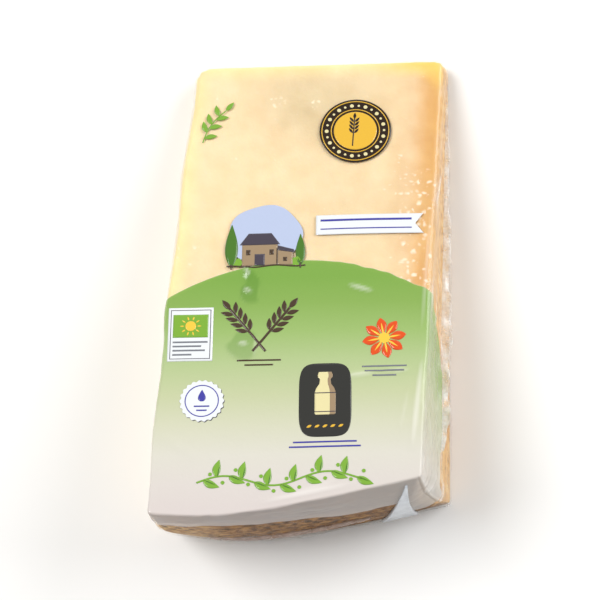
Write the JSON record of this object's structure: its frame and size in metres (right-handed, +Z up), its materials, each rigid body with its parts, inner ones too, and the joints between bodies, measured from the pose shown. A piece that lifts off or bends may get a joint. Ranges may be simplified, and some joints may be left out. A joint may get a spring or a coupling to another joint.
{
  "type": "vacuum-packed parmesan chunk",
  "caption": "Wedge of hard grana cheese cut from a half-height wheel, with a barrel-shaped rind end and a thin end, in tight clear vacuum film with a folded corner and a side seam.",
  "frame": {"origin": "middle of the underside's bounding box, on the surface that the pack lies on", "axes": "+Z up from the surface, out of the printed side; +Y along the wheel's radius, from the rind end to the thin end; +X towards the rind side, where the side seam is"},
  "size_m": [0.1196, 0.1934, 0.0757],
  "materials": {
    "cheese": "pale straw-yellow cut paste, fine grained, with a brown rind at the thick end",
    "film": "clear glossy vacuum film, drawn tight, with creases and a wavy side seam",
    "print": "flexographic print on the film, with no lettering"
  },
  "bodies": {
    "root": {"cheese_pack": "cheese"}
  },
  "joints": []
}
